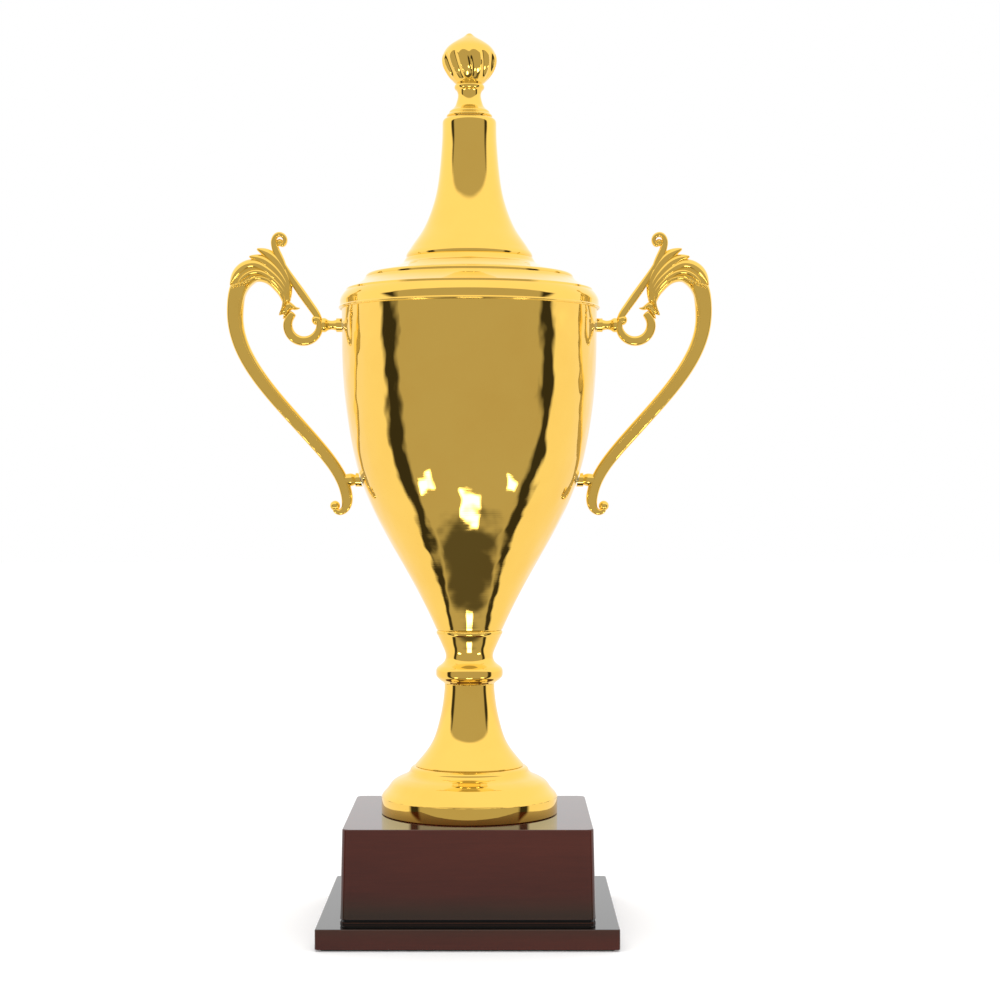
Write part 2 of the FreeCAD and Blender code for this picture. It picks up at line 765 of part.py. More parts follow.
def main():
    """Write every node of the trophy."""
    os.makedirs("parts", exist_ok=True)
    save("base_felt", base_felt())
    save("plinth_plate", plinth_plate())
    save("plinth_box", plinth_box())
    save("plinth_blocks", plinth_blocks())
    save("plinth_screws", plinth_screws())
    save("foot_disc", foot_disc())
    save("foot_bell", foot_bell())
    save("stem_knob", stem_knob())
    save("cup_bowl", cup_bowl())
    save("tie_rod", tie_rod())
    save("base_nut", rod_nut(RECESS_TOP - WASHER_THICKNESS - NUT_HEIGHT))
    save("base_washer", rod_washer(RECESS_TOP - WASHER_THICKNESS))
    save("cup_nut", rod_nut(CUP_FLOOR + WASHER_THICKNESS))
    save("cup_washer", rod_washer(CUP_FLOOR))
    handle = right_handle()
    save("handle_right", handle)
    save("handle_left", handle.mirror(Vector(0, 0, 0), Vector(1, 0, 0)))
    save("handle_spacers", handle_spacers())
    save("handle_washers", handle_washers())
    save("handle_screws", handle_screws())
    save("lid_disc", lid_disc())
    save("lid_tower", lid_tower())
    save("finial_neck", finial_neck())
    save("finial", finial())
    save("lid_rod", lid_rod())
    save("lid_nut", lid_nut())
    save("lid_washer", lid_washer())


main()
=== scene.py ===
import math

import bmesh
import bpy
import numpy as np
from bpy.props import FloatProperty, FloatVectorProperty, IntProperty, PointerProperty
from mathutils import Matrix, Vector


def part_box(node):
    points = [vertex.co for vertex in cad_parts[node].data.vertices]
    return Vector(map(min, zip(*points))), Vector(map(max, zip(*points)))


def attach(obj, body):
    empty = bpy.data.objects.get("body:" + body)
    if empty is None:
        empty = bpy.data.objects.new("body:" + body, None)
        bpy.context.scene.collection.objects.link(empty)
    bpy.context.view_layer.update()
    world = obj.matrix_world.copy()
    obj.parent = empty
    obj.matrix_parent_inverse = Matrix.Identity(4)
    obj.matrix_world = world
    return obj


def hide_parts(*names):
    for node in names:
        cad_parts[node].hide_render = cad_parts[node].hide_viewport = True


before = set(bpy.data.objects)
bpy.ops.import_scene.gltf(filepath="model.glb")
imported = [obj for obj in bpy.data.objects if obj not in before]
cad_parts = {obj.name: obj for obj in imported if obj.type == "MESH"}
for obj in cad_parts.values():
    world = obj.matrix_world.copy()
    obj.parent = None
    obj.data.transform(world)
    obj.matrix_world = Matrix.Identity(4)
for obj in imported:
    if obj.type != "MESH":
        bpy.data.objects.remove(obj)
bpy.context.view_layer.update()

bl_info = {
    "name": "Cup trophy",
    "version": (1, 0, 0),
    "blender": (4, 5, 0),
    "location": "3D View > Sidebar > Trophy",
    "description": "Lidded cup with two scrolled handles on a lacquered plinth",
    "category": "Object",
}

MM = 0.001
CUP_BODY = "trophy"
LID_BODY = "lid"

# ---- outlines ------------------------------------------------------------------------
# Each outline is a list of runs of (radius, height above the piece's foot) in
# millimetres. A run of two points is straight, a longer one is a smooth curve, and
# two runs meet at a crease. The outline is then fitted to the piece's own box.

FOOT_DISC = [
    [(54.1, 0.0), (54.7, 0.5)],
    [(54.7, 0.5), (54.7, 10.2)],
    [(54.7, 10.2), (54.2, 11.4), (51.2, 15.0), (49.0, 18.0), (47.6, 19.6), (46.2, 20.6)],
    [(46.2, 20.6), (43.4, 22.1), (40.4, 23.4), (38.0, 25.0), (36.9, 26.4)],
    [(36.9, 26.4), (36.3, 27.8), (34.9, 28.9)],
    [(34.9, 28.9), (33.0, 29.2)],
    [(33.0, 29.2), (3.3, 29.2)],
]
FOOT_BELL = [
    [(33.2, 0.0), (33.6, 0.4), (33.4, 1.0)],
    [(33.4, 1.0), (32.6, 1.9)],
    [(32.6, 1.9), (28.3, 7.0), (23.3, 14.3), (19.3, 25.5), (16.8, 37.0), (15.5, 47.6)],
    [(15.5, 47.6), (15.5, 50.8)],
    [(15.5, 50.8), (15.2, 51.1)],
    [(15.2, 51.1), (3.3, 51.1)],
]
STEM_KNOB = [
    [(15.6, 0.0), (16.0, 0.3)],
    [(16.0, 0.3), (17.2, 1.3), (18.6, 2.3), (19.4, 3.1)],
    [(19.4, 3.1), (20.5, 4.5), (20.8, 6.6), (20.5, 8.9), (19.4, 10.4), (17.9, 11.5)],
    [(17.9, 11.5), (16.0, 13.2), (14.7, 16.4), (15.2, 19.6), (16.8, 23.4), (18.4, 27.0), (19.9, 30.1)],
    [(19.9, 30.1), (20.5, 31.2), (20.5, 32.4)],
    [(20.5, 32.4), (20.0, 33.1)],
    [(20.0, 33.1), (3.3, 33.1)],
]
CUP_BOWL = [
    [(3.3, 0.0), (19.7, 0.0)],
    [(19.7, 0.0), (20.4, 0.4), (20.9, 1.3)],
    [
        (20.9, 1.3), (24.3, 8.7), (39.9, 38.5), (56.6, 68.6), (67.3, 93.5),
        (74.5, 124.4), (78.1, 154.5), (79.1, 182.0), (79.2, 202.0),
    ],
    [(79.2, 202.0), (79.2, 204.4)],
]
LID_DISC = [
    [(80.4, 0.0), (80.9, 0.2), (81.2, 0.8), (80.9, 1.4), (80.5, 1.7)],
    [(80.5, 1.7), (80.5, 4.6)],
    [(80.5, 4.6), (80.2, 6.2), (79.4, 8.0), (78.2, 9.8), (77.5, 10.6)],
    [(77.5, 10.6), (76.6, 10.9)],
    [(76.6, 10.9), (76.6, 12.2)],
    [(76.6, 12.2), (72.4, 14.0), (68.6, 16.0), (66.0, 18.0), (65.3, 18.9)],
    [(65.3, 18.9), (64.4, 19.1)],
    [(64.4, 19.1), (64.4, 20.5), (63.4, 21.5), (62.0, 21.9)],
    [(62.0, 21.9), (55.0, 23.6), (49.4, 25.2), (45.0, 26.8), (41.4, 28.9), (40.2, 30.6)],
    [(40.2, 30.6), (39.8, 31.4)],
    [(39.8, 31.4), (2.3, 31.4)],
]
LID_TOWER = [
    [(38.6, 0.0), (39.2, 1.0), (39.2, 2.4), (38.4, 4.0)],
    [(38.4, 4.0), (37.4, 5.3)],
    [
        (37.4, 5.3), (34.8, 9.3), (29.6, 16.8), (25.8, 24.4), (23.0, 32.0), (20.9, 39.5),
        (19.5, 47.0), (18.4, 56.0), (17.5, 66.0), (16.9, 76.0), (16.8, 83.6),
    ],
    [(16.8, 83.6), (16.6, 85.2), (15.8, 86.5), (14.4, 87.2)],
    [(14.4, 87.2), (13.9, 87.4)],
    [(13.9, 87.4), (2.3, 87.4)],
]
FINIAL_NECK = [
    [(2.3, 0.0), (13.0, 0.0)],
    [(13.0, 0.0), (13.0, 0.6)],
    [(13.0, 0.6), (14.1, 0.7)],
    [(14.1, 0.7), (14.2, 1.1), (13.7, 2.0), (12.7, 2.8)],
    [(12.7, 2.8), (12.7, 2.9)],
    [(12.7, 2.9), (12.5, 3.7), (11.6, 4.7), (10.6, 5.4)],
    [(10.6, 5.4), (9.0, 7.2), (7.9, 10.0), (7.2, 13.0), (7.3, 15.4), (7.9, 16.9)],
    [(7.9, 16.9), (9.0, 18.0), (9.3, 19.2), (8.9, 20.4), (8.3, 21.1)],
    [(8.3, 21.1), (2.3, 21.1)],
]
FINIAL = [
    [(0.0, 0.0), (8.2, 0.0)],
    [
        (8.2, 0.0), (9.4, 0.9), (11.4, 2.8), (14.0, 6.0), (16.1, 9.8), (17.0, 13.6),
        (16.9, 16.4), (15.9, 19.4), (13.9, 22.4), (11.0, 24.9), (7.4, 27.2),
    ],
    [(7.4, 27.2), (4.4, 28.9), (2.2, 30.5), (1.1, 31.3), (0.0, 31.5)],
]

# ---- handle --------------------------------------------------------------------------
# Spines of the right-hand handle, in millimetres: out from the bowl's widest wall, up
# from the axis of the upper spigot, then the width and the depth of the bar there.

BAR = [
    (33.6, 14.0, 4.6, 5.0), (35.6, 22.0, 5.0, 5.4), (40.2, 29.2, 6.4, 5.8), (46.8, 33.2, 8.0, 6.2),
    (54.0, 33.4, 9.6, 6.8), (60.6, 29.4, 10.6, 7.6), (64.5, 22.4, 11.0, 8.2), (66.1, 13.0, 10.8, 8.6),
    (66.1, 2.0, 10.2, 8.6), (62.6, -12.4, 9.7, 8.4), (54.6, -27.6, 9.4, 8.2), (43.6, -42.4, 9.0, 8.0),
    (31.4, -56.4, 8.7, 7.8), (19.0, -70.2, 8.5, 7.6), (8.0, -83.2, 8.1, 7.4), (0.2, -95.6, 7.8, 7.2),
    (-2.9, -105.4, 7.5, 7.0), (-3.0, -111.2, 6.6, 6.8), (-0.9, -115.2, 4.8, 6.4),
    (2.2, -116.2, 3.8, 6.0), (4.9, -114.2, 3.0, 5.4),
]
LEAF_LOBES = [
    [
        (34.0, 15.4, 4.6, 4.6), (33.6, 25.0, 5.8, 5.8), (37.0, 33.6, 7.0, 6.6), (41.8, 40.4, 7.6, 6.8),
        (46.8, 44.6, 6.2, 6.2), (53.0, 47.4, 1.2, 3.0),
    ],
    [
        (34.2, 15.0, 4.6, 4.8), (35.0, 24.2, 5.8, 6.6), (39.6, 31.8, 7.0, 7.6), (45.2, 37.4, 7.8, 7.8),
        (51.0, 41.0, 6.4, 6.8), (57.8, 42.6, 1.2, 3.2),
    ],
    [
        (34.4, 14.6, 4.4, 5.0), (36.0, 22.6, 5.6, 7.2), (41.0, 29.4, 6.4, 8.4), (47.4, 34.6, 7.2, 9.0),
        (54.0, 37.4, 7.6, 9.2), (60.6, 36.0, 7.4, 9.4), (65.8, 31.0, 6.2, 9.2), (69.2, 24.2, 1.4, 7.6),
    ],
    [
        (34.6, 14.0, 4.2, 5.0), (36.8, 20.6, 5.0, 7.4), (41.6, 26.8, 5.4, 9.0), (47.4, 31.2, 5.8, 9.8),
        (53.2, 32.8, 6.0, 10.2), (58.6, 31.2, 5.6, 10.2), (62.6, 27.6, 4.6, 9.8), (64.8, 23.8, 1.4, 8.6),
    ],
    [
        (34.8, 13.2, 3.8, 5.0), (37.0, 18.6, 4.2, 7.2), (40.8, 23.4, 4.4, 8.6), (45.0, 27.2, 4.6, 9.4),
        (49.4, 29.0, 4.8, 9.8), (53.8, 28.8, 4.6, 10.0), (57.4, 26.6, 3.8, 9.8), (60.4, 23.4, 1.2, 8.8),
    ],
]
LEAF_BEADS = [(67.2, 23.8), (65.2, 24.4), (63.2, 25.0), (61.2, 25.6), (59.2, 26.3), (57.4, 27.4)]
ARCH_RIM = [
    (63.4, 4.0, 1.4, 8.6), (61.8, 14.0, 1.5, 9.0), (60.0, 20.4, 1.6, 9.4), (56.6, 25.2, 1.7, 9.6),
    (52.6, 27.9, 1.7, 9.6), (47.6, 28.8, 1.8, 9.2), (42.0, 27.0, 1.9, 8.6), (37.8, 22.8, 2.0, 7.8),
    (36.0, 17.2, 2.2, 6.8), (36.4, 11.6, 2.2, 6.0), (39.0, 6.6, 0.6, 3.0),
]
SCROLL = [
    (35.6, 33.0, 4.6, 5.4), (37.6, 39.0, 5.0, 5.6), (40.0, 44.4, 5.0, 5.8), (41.9, 49.4, 4.4, 6.0),
    (42.0, 53.6, 3.6, 6.2), (39.6, 56.2, 3.3, 6.2), (36.4, 55.4, 3.2, 6.0), (35.2, 52.2, 3.0, 5.8),
    (37.0, 49.6, 2.6, 5.4), (38.8, 50.6, 2.2, 5.0),
]
STRUT = [
    (37.4, 40.4, 2.2, 4.4), (34.3, 34.4, 3.2, 5.0), (31.0, 28.8, 4.4, 5.4), (27.2, 23.0, 5.2, 5.8),
    (23.0, 17.0, 5.4, 6.0), (19.0, 11.4, 5.2, 6.0), (15.6, 6.4, 4.8, 6.0), (13.6, 2.6, 3.6, 5.4),
]
SEPALS = [
    [(32.4, 12.4, 3.4, 5.4), (34.8, 9.8, 3.6, 5.4), (37.0, 7.6, 2.4, 4.0), (39.2, 6.2, 0.5, 1.6)],
    [(32.6, 11.6, 3.2, 5.8), (34.2, 8.6, 3.2, 5.8), (35.4, 6.2, 2.2, 4.6), (36.6, 3.8, 0.5, 2.0)],
    [(33.0, 13.2, 3.2, 5.6), (30.8, 11.4, 3.4, 5.6), (28.8, 10.4, 2.4, 4.4), (26.0, 10.6, 0.5, 1.6)],
]
HOOK_CENTRE = (23.7, 0.0)
HOOK_RADIUS = 9.95
HOOK_START = 52.0
HOOK_SWEEP = -262.0
HOOK_WIDTHS = [4.6, 5.8, 6.3, 6.4, 6.2, 5.6, 4.6, 3.4]
BALLS = [(15.5, 3.2, 3.4), (38.6, 51.2, 2.4), (4.3, -112.2, 3.2), (33.0, 11.6, 3.0)]
UPPER_SPIGOT = [
    [(4.3, 12.6), (4.5, 11.0), (4.1, 9.8), (3.4, 8.9)],
    [(3.4, 8.9), (2.9, 7.2), (2.9, 5.4), (3.3, 4.0), (3.5, 3.4)],
]
LOWER_SPIGOT = [
    [(3.3, 11.0), (3.7, 9.0), (4.0, 7.2), (3.9, 5.6), (3.4, 4.2), (3.1, 3.4)],
]


# ---- room ----------------------------------------------------------------------------
# Brightness of a plain grey studio by the turn away from its front, in degrees, the same
# on either side: a grey front, a black flag at each side, white round the back.

STUDIO_WALLS = [(0, 0.5), (65, 0.5), (70, 0.04), (80, 0.04), (85, 1.0), (180, 1.0)]
STUDIO_FLOOR = [(0, 0.1), (60, 0.1), (75, 1.0), (180, 1.0)]
FLOOR_SLOPE = -0.8
CEILING_SLOPE = 0.7
CEILING = (1.1, 1.1, 1.1)
# Soft boxes low in front: turn from and to, slope from and to, strength.
SOFT_BOXES = [(-12, 12, -0.8, -0.7, 8.0), (45, 60, -0.62, -0.54, 8.0)]

# ---- settings ------------------------------------------------------------------------


class PlateFinish(bpy.types.PropertyGroup):
    """Colours and polish of the gold plate."""

    bright: FloatVectorProperty(
        name="Plate", description="Colour of the gold plate", subtype="COLOR",
        default=(1.0, 0.64, 0.13), min=0, max=1,
    )
    worn: FloatVectorProperty(
        name="Handled plate", description="Colour where the plate is touched or thin", subtype="COLOR",
        default=(0.95, 0.56, 0.1), min=0, max=1,
    )
    mirrored: FloatVectorProperty(
        name="Mirrored plate", description="Colour of the plate as other plate mirrors it", subtype="COLOR",
        default=(1.0, 0.86, 0.45), min=0, max=1,
    )
    polish: FloatProperty(
        name="Roughness", description="Roughness of the polished plate", default=0.012, min=0, max=1,
    )
    ripple: FloatProperty(
        name="Ripple", description="Height of the sheet's slow waves", default=0.0009,
        min=0, max=0.002, unit="LENGTH",
    )


class LacquerFinish(bpy.types.PropertyGroup):
    """Colours of the plinth, and the olive of a painted reflection round the foot of the box."""

    ground: FloatVectorProperty(
        name="Ground", description="Darkest colour of the stained board", subtype="COLOR",
        default=(0.046, 0.0080, 0.0038), min=0, max=1,
    )
    figure: FloatVectorProperty(
        name="Figure", description="Lighter colour of the grain", subtype="COLOR",
        default=(0.072, 0.0128, 0.0060), min=0, max=1,
    )
    # Painted reflection: the lacquer's darker olive near the foot of the box, painted into its colour.
    foot: FloatVectorProperty(
        name="Foot", description="Stain at the foot of the box, where the wood is older", subtype="COLOR",
        default=(0.022, 0.016, 0.007), min=0, max=1,
    )


class SheetSizes(bpy.types.PropertyGroup):
    """Sizes that the spun pieces share."""

    thickness: FloatProperty(
        name="Sheet", description="Thickness of the spun sheet", default=1.0 * MM, unit="LENGTH",
    )
    crease: FloatProperty(
        name="Crease", description="Rounding of the pressed creases", default=0.22 * MM, unit="LENGTH",
    )
    steps: IntProperty(name="Steps", description="Sides of a full turn", default=160, min=24)


class FinialSizes(bpy.types.PropertyGroup):
    """Flutes of the finial."""

    flutes: IntProperty(name="Flutes", description="Number of spiral flutes", default=16, min=3)
    depth: FloatProperty(
        name="Depth", description="Depth of the flutes at their middle", default=1.6 * MM, unit="LENGTH",
    )
    twist: FloatProperty(
        name="Twist", description="How far a flute turns from bottom to top",
        default=math.radians(-22), subtype="ANGLE",
    )


class StageSetup(bpy.types.PropertyGroup):
    """Camera and room."""

    distance: FloatProperty(
        name="Distance", description="Camera to the cup's axis", default=1.28, unit="LENGTH",
    )
    height: FloatProperty(
        name="Height", description="Camera above the floor", default=0.2725, unit="LENGTH",
    )
    aside: FloatProperty(
        name="Aside", description="Camera to the right of the axis", default=0.019, unit="LENGTH",
    )
    lens: FloatProperty(name="Lens", description="Focal length in mm", default=74.1, min=10)
    tilt: FloatProperty(
        name="Tilt", description="How far the camera looks down", default=math.radians(0.437),
        subtype="ANGLE",
    )
    floor: FloatProperty(
        name="Floor", description="Radius of the floor", default=6.0, unit="LENGTH",
    )


# ---- mesh helpers --------------------------------------------------------------------


def smooth_run(points, per_span=7):
    """Samples of the natural cubic curve through a few points, in any number of columns."""
    through = np.array(points, dtype=float)
    if len(through) < 3:
        return [tuple(point) for point in through]
    span = np.linalg.norm(np.diff(through[:, :2], axis=0), axis=1)
    rows = len(through)
    left = np.eye(rows)
    right = np.zeros_like(through)
    for i in range(1, rows - 1):
        left[i, i - 1 : i + 2] = span[i - 1], 2 * (span[i - 1] + span[i]), span[i]
        rise = (through[i + 1] - through[i]) / span[i]
        right[i] = 6 * (rise - (through[i] - through[i - 1]) / span[i - 1])
    bend = np.linalg.solve(left, right)
    samples = []
    for i in range(rows - 1):
        for step in range(per_span):
            done = span[i] * step / per_span
            rest = span[i] - done
            curve = (bend[i] * rest**3 + bend[i + 1] * done**3) / (6 * span[i])
            line = through[i] * rest + through[i + 1] * done
            lift = (bend[i] * rest + bend[i + 1] * done) * span[i] / 6
            samples.append(tuple(curve + line / span[i] - lift))
    samples.append(tuple(through[-1]))
    return samples


def joined_runs(runs):
    """One list of points from runs that share their ends."""
    points = []
    for run in runs:
        points += smooth_run(run)[1 if points else 0 :]
    return points


def spun(outline, steps):
    """Mesh of an outline of (radius, height) in metres, spun once round the Z axis."""
    mesh = bmesh.new()
    verts = [mesh.verts.new((radius, 0, height)) for radius, height in outline]
    edges = [mesh.edges.new(pair) for pair in zip(verts, verts[1:])]
    bmesh.ops.spin(
        mesh, geom=verts + edges, cent=(0, 0, 0), axis=(0, 0, 1), dvec=(0, 0, 0),
        angle=math.tau, steps=steps, use_merge=True,
    )
    bmesh.ops.remove_doubles(mesh, verts=mesh.verts, dist=0.01 * MM)
    bmesh.ops.recalc_face_normals(mesh, faces=mesh.faces)
    widest = max(mesh.faces, key=lambda face: face.calc_center_median().xy.length)
    if widest.normal.xy.dot(widest.calc_center_median().xy) < 0:
        bmesh.ops.reverse_faces(mesh, faces=mesh.faces)
    return mesh


def round_creases(mesh, width, sharpest=18.0):
    """Small bevel along the edges that fold by more than an angle."""
    creases = [
        edge for edge in mesh.edges
        if len(edge.link_faces) == 2 and edge.calc_face_angle() > math.radians(sharpest)
    ]
    bmesh.ops.bevel(
        mesh, geom=creases, offset=width, offset_type="OFFSET", affect="EDGES",
        segments=2, profile=0.5, material=-1, clamp_overlap=True,
    )


def fitted(runs, node):
    """Outline in metres, fitted to the box of the CAD node it stands for."""
    low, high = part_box(node)
    outline = joined_runs(runs)
    wide = high.x / max(radius for radius, _ in outline)
    tall = (high.z - low.z) / max(height for _, height in outline)
    return [(radius * wide, low.z + height * tall) for radius, height in outline]


def swept(mesh, spine, section):
    """Closed bar along a spine of (x, z, width, depth), extruded ring by ring."""
    ring = bmesh.ops.create_circle(mesh, cap_ends=False, radius=1, segments=len(section))["verts"]
    for vert, (across, deep) in zip(ring, section):
        vert.co = (across, deep, 0)
    edges = list({edge for vert in ring for edge in vert.link_edges})
    ends = [edges]
    placed = Matrix()
    for index, (x, z, width, depth) in enumerate(spine):
        before = Vector(spine[max(index - 1, 0)][:2])
        after = Vector(spine[min(index + 1, len(spine) - 1)][:2])
        along = (after - before).normalized()
        place = Matrix((
            (along.y * width, 0, along.x, x),
            (0, depth, 0, 0),
            (-along.x * width, 0, along.y, z),
            (0, 0, 0, 1),
        ))
        if index:
            made = bmesh.ops.extrude_edge_only(mesh, edges=edges)["geom"]
            ring = [item for item in made if isinstance(item, bmesh.types.BMVert)]
            edges = [
                item for item in made
                if isinstance(item, bmesh.types.BMEdge) and item.verts[0] in ring and item.verts[1] in ring
            ]
        bmesh.ops.transform(mesh, matrix=place @ placed.inverted(), verts=ring)
        placed = place
    ends.append(edges)
    for rim in ends:
        bmesh.ops.edgeloop_fill(mesh, edges=rim)


def oval(power_across, power_deep, count=16):
    """Section of unit width and depth, squarer as its powers get smaller."""
    points = []
    for step in range(count):
        angle = math.tau * step / count
        across = math.copysign(abs(math.cos(angle)) ** power_across, math.cos(angle)) / 2
        deep = math.copysign(abs(math.sin(angle)) ** power_deep, math.sin(angle)) / 2
        points.append((across, deep))
    return points


def ridged(count=16):
    """Section of a leaf lobe: a rounded back that thins to its two edges."""
    points = []
    for step in range(count):
        angle = math.tau * step / count
        deep = math.copysign(abs(math.sin(angle)) ** 1.4, math.sin(angle)) / 2
        points.append((math.cos(angle) / 2, deep))
    return points


def finish_piece(name, mesh, material, body, nodes):
    """Object from a mesh: smooth, painted, riding on its body in place of its nodes."""
    data = bpy.data.meshes.new(name)
    mesh.to_mesh(data)
    mesh.free()
    data.shade_smooth()
    data.materials.append(material)
    piece = bpy.data.objects.new(name, data)
    bpy.context.collection.objects.link(piece)
    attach(piece, body)
    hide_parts(*nodes)
    return piece


def thicken(piece, thickness):
    """Give a spun skin its sheet, inwards from the outer face."""
    sheet = piece.modifiers.new("Sheet", "SOLIDIFY")
    sheet.thickness = thickness
    sheet.offset = -1


def refine(piece, levels):
    """Subdivide a swept piece until it is smooth."""
    smooth = piece.modifiers.new("Smooth", "SUBSURF")
    smooth.levels = levels
    smooth.render_levels = levels


def mirror_across(mesh):
    """Turn a right-hand shape into a left-hand one, faces still outwards."""
    bmesh.ops.scale(mesh, vec=(-1, 1, 1), verts=mesh.verts)
    bmesh.ops.reverse_faces(mesh, faces=mesh.faces)


# ---- material helpers ----------------------------------------------------------------


def shader_group(name, inputs, outputs):
    """Empty node group with float inputs, and outputs of the types given."""
    group = bpy.data.node_groups.new(name, "ShaderNodeTree")
    for label, value in inputs.items():
        socket = group.interface.new_socket(label, in_out="INPUT", socket_type="NodeSocketFloat")
        socket.default_value = value
    for label, kind in outputs.items():
        group.interface.new_socket(label, in_out="OUTPUT", socket_type=kind)
    return group


def add_node(tree, kind, **settings):
    """New node with its attributes set."""
    node = tree.nodes.new(kind)
    for key, value in settings.items():
        setattr(node, key, value)
    return node


def calculate(tree, operation, first, second, clamp=False):
    """Maths node on two sockets or numbers."""
    node = add_node(tree, "ShaderNodeMath", operation=operation, use_clamp=clamp)
    for socket, value in zip(node.inputs, (first, second)):
        if isinstance(value, (int, float)):
            socket.default_value = value
        else:
            tree.links.new(value, socket)
    return node.outputs[0]


def stretched(tree, scale):
    """Object coordinates with each axis scaled."""
    place = add_node(tree, "ShaderNodeTexCoord")
    mapping = add_node(tree, "ShaderNodeMapping")
    mapping.inputs["Scale"].default_value = scale
    tree.links.new(place.outputs["Object"], mapping.inputs["Vector"])
    return mapping.outputs["Vector"]


def noise(tree, coordinates, scale, detail=2.0, roughness=0.5):
    """Noise value on given coordinates; scale may be a socket."""
    node = add_node(tree, "ShaderNodeTexNoise")
    tree.links.new(coordinates, node.inputs["Vector"])
    node.inputs["Detail"].default_value = detail
    node.inputs["Roughness"].default_value = roughness
    if isinstance(scale, (int, float)):
        node.inputs["Scale"].default_value = scale
    else:
        tree.links.new(scale, node.inputs["Scale"])
    return node.outputs["Fac"]


def ramp(tree, value, stops):
    """Colour ramp with stops of (position, grey or colour)."""
    node = add_node(tree, "ShaderNodeValToRGB")
    elements = node.color_ramp.elements
    while len(elements) < len(stops):
        elements.new(0.5)
    for element, (position, colour) in zip(elements, stops):
        element.position = position
        if isinstance(colour, (int, float)):
            colour = (colour, colour, colour)
        element.color = (*colour, 1)
    tree.links.new(value, node.inputs["Fac"])
    return node.outputs["Color"]


def blend_colours(tree, factor, first, second):
    """Mix of two colours or colour sockets."""
    node = add_node(tree, "ShaderNodeMix", data_type="RGBA")
    if isinstance(factor, (int, float)):
        node.inputs["Factor"].default_value = factor
    else:
        tree.links.new(factor, node.inputs["Factor"])
    for socket, value in ((node.inputs[6], first), (node.inputs[7], second)):
        if isinstance(value, bpy.types.NodeSocket):
            tree.links.new(value, socket)
        else:
            socket.default_value = (*value, 1)
    return node.outputs[2]


def bump(tree, height, distance, strength=1.0):
    """Normal from a height in metres."""
    node = add_node(tree, "ShaderNodeBump")
    node.inputs["Distance"].default_value = distance
    node.inputs["Strength"].default_value = strength
    tree.links.new(height, node.inputs["Height"])
    return node.outputs["Normal"]


def new_material(name):
    """Material with its Principled shader, and its node tree."""
    material = bpy.data.materials.new(name)
    material.use_nodes = True
    tree = material.node_tree
    return material, tree, tree.nodes["Principled BSDF"]


def polish_marks():
    """Group: hand marks, polishing lines and slow ripples of a polished surface."""
    name = "polish_marks"
    if name in bpy.data.node_groups:
        return bpy.data.node_groups[name]
    value = "NodeSocketFloat"
    group = shader_group(
        name, {"Clean": 0.035, "Smudged": 0.09, "Ripple size": 34.0},
        {"Roughness": value, "Ripple": value, "Lines": value, "Touch": value},
    )
    given = add_node(group, "NodeGroupInput")
    result = add_node(group, "NodeGroupOutput")
    plain = stretched(group, (1, 1, 1))
    touch = ramp(group, noise(group, plain, 22, 4, 0.6), [(0.46, 0.0), (0.72, 1.0)])
    specks = ramp(group, noise(group, plain, 420, 3, 0.7), [(0.62, 0.0), (0.78, 1.0)])
    hair = ramp(group, noise(group, stretched(group, (30, 30, 2600)), 1, 2), [(0.35, 0.0), (0.75, 1.0)])
    marks = calculate(group, "ADD", calculate(group, "MULTIPLY", specks, 0.35), touch)
    marks = calculate(group, "ADD", marks, calculate(group, "MULTIPLY", hair, 0.25), clamp=True)
    range_ = calculate(group, "SUBTRACT", given.outputs["Smudged"], given.outputs["Clean"])
    rough = calculate(group, "MULTIPLY", marks, range_)
    rough = calculate(group, "ADD", rough, given.outputs["Clean"])
    slow = noise(group, stretched(group, (1, 1, 0.7)), given.outputs["Ripple size"], 1.5, 0.4)
    group.links.new(rough, result.inputs["Roughness"])
    group.links.new(slow, result.inputs["Ripple"])
    group.links.new(hair, result.inputs["Lines"])
    group.links.new(touch, result.inputs["Touch"])
    return group


def use_group(tree, group, **values):
    """Place a group in a material, with its own input values."""
    node = add_node(tree, "ShaderNodeGroup", node_tree=group)
    for key, value in values.items():
        node.inputs[key.replace("_", " ")].default_value = value
    return node


def gold_plate(name, ripple, ripple_size, smudged):
    """Polished gold plate over spun sheet or castings."""
    if name in bpy.data.materials:
        return bpy.data.materials[name]
    finish = bpy.context.scene.trophy_plate
    material, tree, shader = new_material(name)
    marks = use_group(tree, polish_marks(), Clean=finish.polish, Smudged=smudged, Ripple_size=ripple_size)
    colour = blend_colours(
        tree, calculate(tree, "MULTIPLY", marks.outputs["Touch"], 0.35), finish.bright, finish.worn
    )
    again = add_node(tree, "ShaderNodeLightPath").outputs["Is Glossy Ray"]
    colour = blend_colours(tree, again, colour, finish.mirrored)
    tree.links.new(colour, shader.inputs["Base Color"])
    tree.links.new(marks.outputs["Roughness"], shader.inputs["Roughness"])
    shader.inputs["Metallic"].default_value = 1.0
    fine = calculate(tree, "MULTIPLY", marks.outputs["Lines"], 0.003)
    height = calculate(tree, "ADD", marks.outputs["Ripple"], fine)
    tree.links.new(bump(tree, height, ripple), shader.inputs["Normal"])
    return material


def bowl_gold():
    """Plate on the large bowl, whose sheet shows slow ripples."""
    ripple = bpy.context.scene.trophy_plate.ripple
    return gold_plate("gold_plate_bowl", ripple, 60.0, 0.03)


def sheet_gold():
    """Plate on the smaller spun pieces, which are stiffer and truer."""
    ripple = bpy.context.scene.trophy_plate.ripple
    return gold_plate("gold_plate_sheet", ripple * 0.3, 60.0, 0.03)


def cast_gold():
    """Plate on the cast handles and finial, which show a finer, softer surface."""
    ripple = bpy.context.scene.trophy_plate.ripple
    return gold_plate("gold_plate_cast", ripple * 0.25, 160.0, 0.07)


